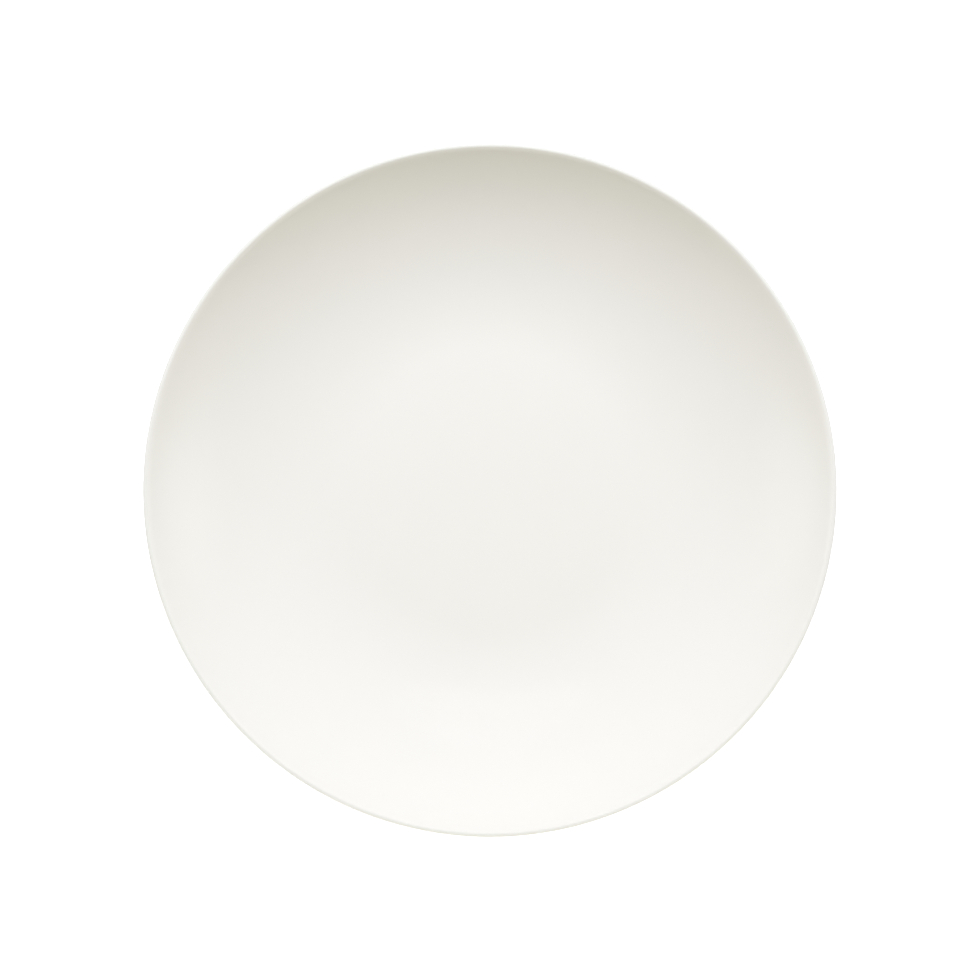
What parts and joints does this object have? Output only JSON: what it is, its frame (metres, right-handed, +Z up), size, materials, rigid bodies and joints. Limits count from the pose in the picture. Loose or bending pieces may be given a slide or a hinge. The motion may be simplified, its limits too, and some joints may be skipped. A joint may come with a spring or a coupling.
{
  "type": "deep coupe plate",
  "caption": "Deep round coupe plate in glazed porcelain: a flat well sweeps up in one curve to a thin, round lip, on a low foot ring that is left bare where the plate stands.",
  "frame": {"origin": "centre of the foot ring, on the plane that the plate stands on", "axes": "+Z up, along the plate's axis of revolution, from the foot ring to the lip; the plate is alike all round, and +Y is the top of the picture, which looks straight down"},
  "size_m": [0.28, 0.28, 0.045],
  "materials": {
    "porcelain": "matte",
    "glaze": "gloss"
  },
  "bodies": {
    "root": {"porcelain_body": "porcelain", "face_glaze_coat": "glaze", "recess_glaze_coat": "glaze"}
  },
  "joints": []
}
